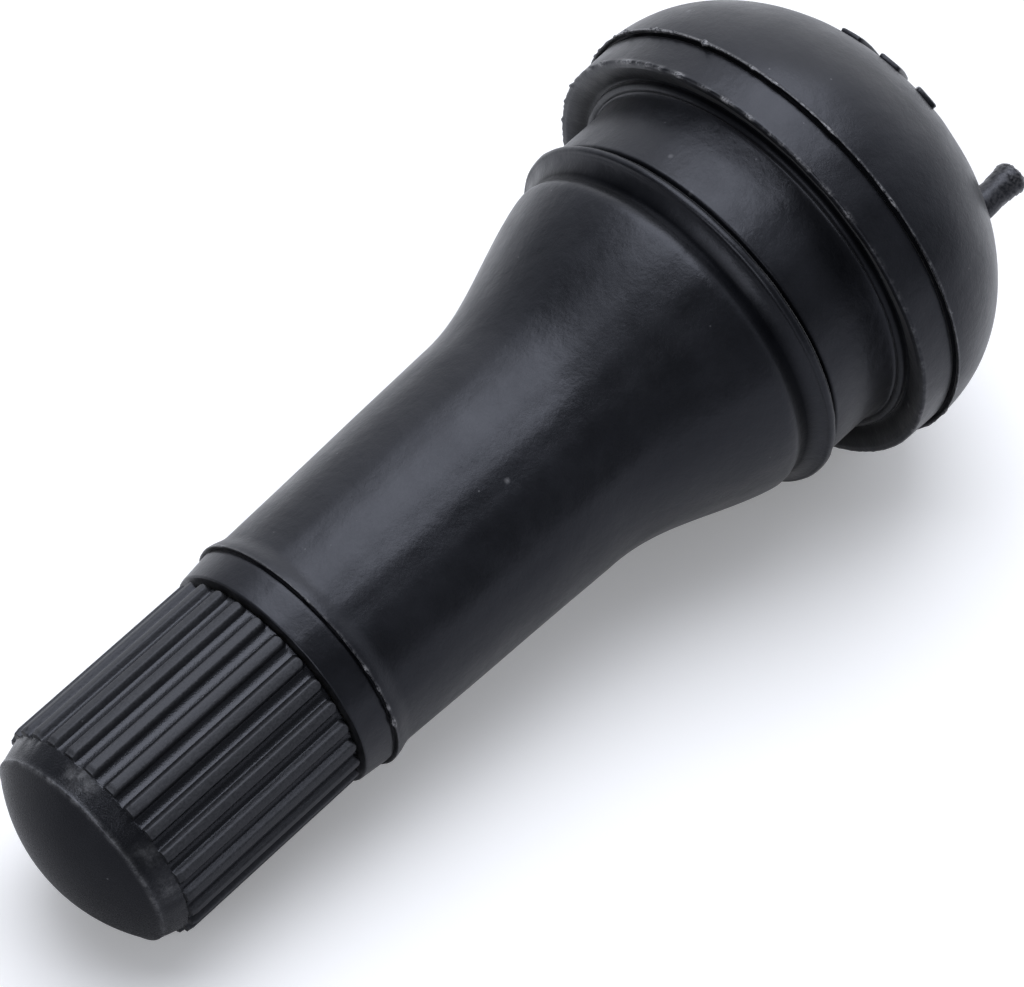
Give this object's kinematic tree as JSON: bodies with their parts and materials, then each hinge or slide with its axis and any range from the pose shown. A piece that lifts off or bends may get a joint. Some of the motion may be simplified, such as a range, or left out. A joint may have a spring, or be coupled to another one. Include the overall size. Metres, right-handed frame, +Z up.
{
  "type": "tyre valve",
  "caption": "Rubber snap-in tyre valve with a domed head, grooved neck, flared stem, brass insert, sprung core and ribbed screw cap, lying on its side.",
  "frame": {"origin": "centre of the head's underside, on the valve's axis, where the wheel's hole lies", "axes": "+Z up as the valve lies on a floor, resting on the head's rim and the cap; the axis runs in the XZ plane from the head towards the cap at -X, falling by about 8 degrees"},
  "size_m": [0.0442, 0.0192, 0.0189],
  "materials": {
    "rubber": "moulded matt black rubber with a soft sheen",
    "brass": "turned, slightly dull",
    "core_brass": "bright turned",
    "gasket": "smooth moulded",
    "spring_steel": "drawn wire",
    "seal_rubber": "smooth moulded",
    "cap_plastic": "moulded black plastic, satin"
  },
  "bodies": {
    "valve": {"rubber_body": "rubber", "brass_stem": "brass", "core_plug": "core_brass", "core_barrel": "core_brass", "core_gasket": "gasket", "core_spring": "spring_steel"},
    "pin": {"core_pin": "core_brass", "core_poppet": "core_brass", "poppet_seal": "seal_rubber"},
    "washer": {"cap_washer": "seal_rubber"},
    "cap": {"cap": "cap_plastic"}
  },
  "joints": [
    {"name": "pin_press", "type": "slide", "parent": "valve", "child": "pin", "axis": [0.9905, 0, 0.1375], "range_m": [0, 0.0012], "stiffness_N_per_m": 900, "springref_m": -0.003, "deforming": ["core_spring"]},
    {"name": "cap_lift", "type": "slide", "parent": "valve", "child": "washer", "axis": [-0.9905, 0, -0.1375], "range_m": [0, 0.00714]},
    {"name": "cap_turn", "type": "hinge", "parent": "washer", "child": "cap", "pos_m": [-0.02489, 0, -0.00346], "axis": [-0.9905, 0, -0.1375], "range_deg": [0, 3240]}
  ],
  "couplings": [
    {"joint": "cap_turn", "follows": "cap_lift", "rad_per_m": 7915.8}
  ]
}
